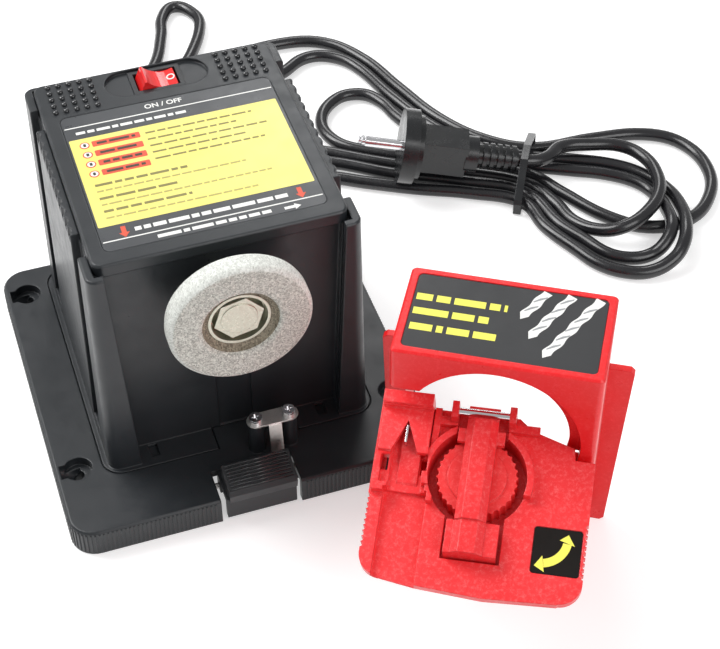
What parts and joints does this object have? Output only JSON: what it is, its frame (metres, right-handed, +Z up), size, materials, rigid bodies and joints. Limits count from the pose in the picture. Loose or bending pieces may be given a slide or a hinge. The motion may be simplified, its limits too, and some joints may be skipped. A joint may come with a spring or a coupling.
{
  "type": "drill bit sharpener",
  "caption": "Bench drill bit sharpener: a black power unit with a front grinding wheel, and a red lift-off module with a swinging table, drill gauge and clamp.",
  "frame": {"origin": "middle of the power unit's underside, on the bench", "axes": "+Z up, -Y towards the front, where the grinding wheel and the latch are, +X to the right of someone facing the wheel"},
  "size_m": [0.3356, 0.4566, 0.1203],
  "materials": {
    "black_case": "satin",
    "black_trim": "satin",
    "feet_rubber": "matte",
    "unit_label": "printed film",
    "rocker_red": "gloss",
    "polished_steel": "polished",
    "machined_steel": "turned",
    "zinc_can": "zinc plated",
    "magnet": "matte",
    "winding_copper": "lacquered",
    "bare_copper": "turned",
    "carbon": "matte",
    "abrasive": "coarse grit",
    "board": "lacquered",
    "capacitor_blue": "gloss",
    "lead_brown": "satin",
    "black_pvc": "satin",
    "tie_nylon": "satin",
    "module_red": "satin",
    "module_print": "printed film",
    "decal_print": "printed film"
  },
  "bodies": {
    "power_unit": {"base_plate": "black_case", "bottom_cover": "black_trim", "rubber_feet": "feet_rubber", "tower_housing": "black_case", "top_cover": "black_case", "rating_label": "unit_label", "switch_body": "black_trim", "latch_pivot_pin": "machined_steel", "latch_spring": "polished_steel", "latch_spring_screws": "polished_steel", "housing_screws": "machined_steel", "cover_screws": "machined_steel", "motor_can": "zinc_can", "motor_end_cap": "black_trim", "motor_magnets": "magnet", "motor_brushes": "carbon", "front_bearing": "machined_steel", "rear_bearing": "machined_steel", "motor_screws": "machined_steel", "rectifier_board": "board", "noise_capacitor": "capacitor_blue", "switch_leads": "lead_brown", "cord_gland": "black_pvc", "mains_cord": "black_pvc", "cord_tie": "tie_nylon", "plug_body": "black_pvc", "plug_pins": "polished_steel"},
    "rotor": {"motor_armature": "winding_copper", "motor_commutator": "bare_copper", "motor_shaft": "machined_steel", "cooling_fan": "black_trim", "wheel_hub": "machined_steel", "grinding_wheel": "abrasive", "wheel_bolt": "polished_steel"},
    "rocker": {"switch_rocker": "rocker_red"},
    "latch": {"latch_lever": "black_trim"},
    "drill_module": {"module_frame": "module_red", "module_label": "module_print", "table_pivot": "machined_steel", "pivot_washer": "machined_steel"},
    "table": {"swing_table": "module_red", "table_decal": "decal_print", "drill_gauge": "module_red", "gauge_finger": "polished_steel", "clamp_pin": "polished_steel"},
    "clamp": {"clamp_bar": "module_red"},
    "knob": {"clamp_knob": "module_red", "knob_screw": "machined_steel"}
  },
  "joints": [
    {"name": "wheel_spin", "type": "hinge", "parent": "power_unit", "child": "rotor", "pos_m": [0, -0.0539, 0.0928], "axis": [0, 1, 0], "continuous": true},
    {"name": "rocker_tilt", "type": "hinge", "parent": "power_unit", "child": "rocker", "pos_m": [0, 0.0573, 0.1133], "axis": [0, -1, 0], "range_deg": [0, 32]},
    {"name": "latch_press", "type": "hinge", "parent": "power_unit", "child": "latch", "pos_m": [0, -0.064, 0.0064], "axis": [1, 0, 0], "range_deg": [0, 7], "stiffness_Nm_per_rad": 0.05, "springref_deg": -5.73},
    {"name": "module_lift", "type": "slide", "parent": "power_unit", "child": "drill_module", "axis": [0, 0, 1], "range_m": [0, 0.12]},
    {"name": "table_swing", "type": "hinge", "parent": "drill_module", "child": "table", "pos_m": [0.04652, -0.12045, 0.07682], "axis": [0.1746, 0.2941, -0.9397], "range_deg": [0, 24]},
    {"name": "clamp_open", "type": "hinge", "parent": "table", "child": "clamp", "pos_m": [0.07065, -0.12677, 0.08571], "axis": [-0.8792, 0.4763, -0.0143], "range_deg": [0, 75]},
    {"name": "knob_turn", "type": "hinge", "parent": "table", "child": "knob", "pos_m": [0.0619, -0.14375, 0.07238], "axis": [-0.1746, -0.2941, 0.9397], "range_deg": [-180, 180]}
  ]
}
